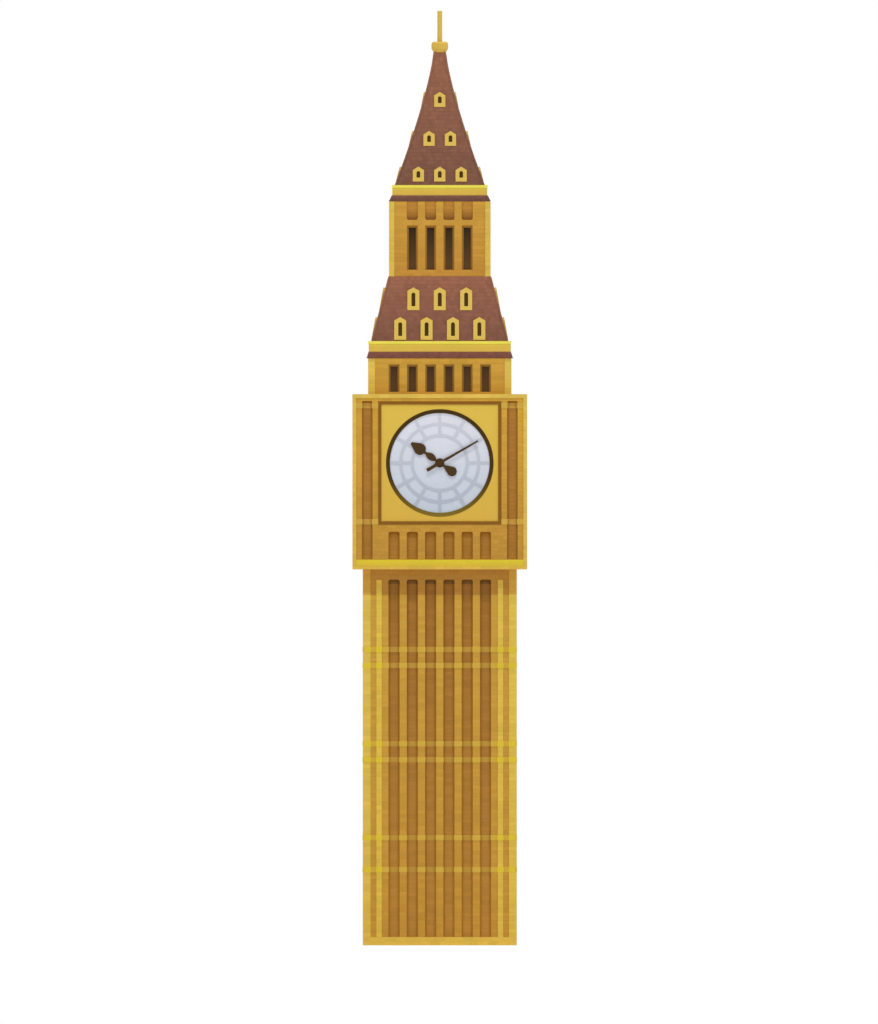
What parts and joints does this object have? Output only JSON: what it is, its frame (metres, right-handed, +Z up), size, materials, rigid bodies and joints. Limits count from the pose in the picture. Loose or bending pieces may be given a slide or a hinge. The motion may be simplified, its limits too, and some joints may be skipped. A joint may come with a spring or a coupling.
{
  "type": "clock tower scale model",
  "caption": "Scale model of a tall square clock tower: panelled hollow shaft, clock stage with a dial and turning hands on each side, gallery, lantern and hipped spire.",
  "frame": {"origin": "ground level, on the tower's axis, at the middle of the plinth's foot", "axes": "+Z up the tower, the front faces -Y, +X to the right seen from the front"},
  "size_m": [1.793, 1.793, 9.6],
  "materials": {
    "ashlar": "matt gold-brown limestone, darker in the recesses",
    "band_stone": "matt gold-brown limestone, a shade lighter than the walls",
    "trim_stone": "matt light gold limestone",
    "gilded_stone": "bright yellow gilded stone",
    "dial_surround": "gilded cast plate, satin",
    "dial_frame": "brown painted casting, satin",
    "dial_ring": "dark bronze paint, satin",
    "dial_glass": "opal white glass, gloss",
    "tracery": "pale grey paint, satin",
    "hands": "dark bronze paint, satin",
    "roof_tiles": "red-brown painted tiles, matt",
    "dormer_casing": "light gold paint on castings, satin",
    "window_glass": "dark glass, gloss",
    "gilded_metal": "gilded, satin"
  },
  "bodies": {
    "tower": {"shaft_wall_front": "ashlar", "shaft_wall_right": "ashlar", "shaft_wall_back": "ashlar", "shaft_wall_left": "ashlar", "clock_wall_front": "ashlar", "clock_wall_right": "ashlar", "clock_wall_back": "ashlar", "clock_wall_left": "ashlar", "gallery_walls": "ashlar", "lantern_walls": "ashlar", "string_courses": "band_stone", "clock_side_bands": "band_stone", "plinth": "trim_stone", "shaft_corner_piers": "trim_stone", "shaft_pilasters": "trim_stone", "clock_stage_base": "trim_stone", "clock_corner_piers": "trim_stone", "gallery_floor": "trim_stone", "gallery_corner_piers": "trim_stone", "lantern_corner_piers": "trim_stone", "clock_stage_band": "gilded_stone", "lower_cornice": "gilded_stone", "upper_cornice": "gilded_stone", "dial_surrounds": "dial_surround", "dial_frames": "dial_frame", "dial_rings": "dial_ring", "dial_glasses": "dial_glass", "dial_traceries": "tracery", "lower_eaves": "roof_tiles", "lower_roof_slopes": "roof_tiles", "lantern_floor": "roof_tiles", "upper_eaves": "roof_tiles", "spire_slopes": "roof_tiles", "roof_hips": "roof_tiles", "lower_dormers": "dormer_casing", "spire_dormers": "dormer_casing", "window_panes": "window_glass", "dormer_panes": "window_glass", "finial": "gilded_metal"},
    "minute_hand_front": {"minute_hand_front": "hands"},
    "minute_hand_right": {"minute_hand_right": "hands"},
    "minute_hand_back": {"minute_hand_back": "hands"},
    "minute_hand_left": {"minute_hand_left": "hands"},
    "hour_hand_front": {"hour_hand_front": "hands"},
    "hour_hand_right": {"hour_hand_right": "hands"},
    "hour_hand_back": {"hour_hand_back": "hands"},
    "hour_hand_left": {"hour_hand_left": "hands"}
  },
  "joints": [
    {"name": "minute_turn_front", "type": "hinge", "parent": "tower", "child": "minute_hand_front", "pos_m": [0, -0.8785, 4.956], "axis": [0, 1, 0], "continuous": true},
    {"name": "minute_turn_right", "type": "hinge", "parent": "tower", "child": "minute_hand_right", "pos_m": [0.8785, 0, 4.956], "axis": [-1, 0, 0], "continuous": true},
    {"name": "minute_turn_back", "type": "hinge", "parent": "tower", "child": "minute_hand_back", "pos_m": [0, 0.8785, 4.956], "axis": [0, -1, 0], "continuous": true},
    {"name": "minute_turn_left", "type": "hinge", "parent": "tower", "child": "minute_hand_left", "pos_m": [-0.8785, 0, 4.956], "axis": [1, 0, 0], "continuous": true},
    {"name": "hour_turn_front", "type": "hinge", "parent": "tower", "child": "hour_hand_front", "pos_m": [0, -0.8785, 4.956], "axis": [0, 1, 0], "continuous": true},
    {"name": "hour_turn_right", "type": "hinge", "parent": "tower", "child": "hour_hand_right", "pos_m": [0.8785, 0, 4.956], "axis": [-1, 0, 0], "continuous": true},
    {"name": "hour_turn_back", "type": "hinge", "parent": "tower", "child": "hour_hand_back", "pos_m": [0, 0.8785, 4.956], "axis": [0, -1, 0], "continuous": true},
    {"name": "hour_turn_left", "type": "hinge", "parent": "tower", "child": "hour_hand_left", "pos_m": [-0.8785, 0, 4.956], "axis": [1, 0, 0], "continuous": true}
  ],
  "couplings": [
    {"joint": "minute_turn_right", "follows": "minute_turn_front", "ratio": 1},
    {"joint": "minute_turn_back", "follows": "minute_turn_front", "ratio": 1},
    {"joint": "minute_turn_left", "follows": "minute_turn_front", "ratio": 1},
    {"joint": "hour_turn_front", "follows": "minute_turn_front", "ratio": 0.083333},
    {"joint": "hour_turn_right", "follows": "minute_turn_front", "ratio": 0.083333},
    {"joint": "hour_turn_back", "follows": "minute_turn_front", "ratio": 0.083333},
    {"joint": "hour_turn_left", "follows": "minute_turn_front", "ratio": 0.083333}
  ]
}
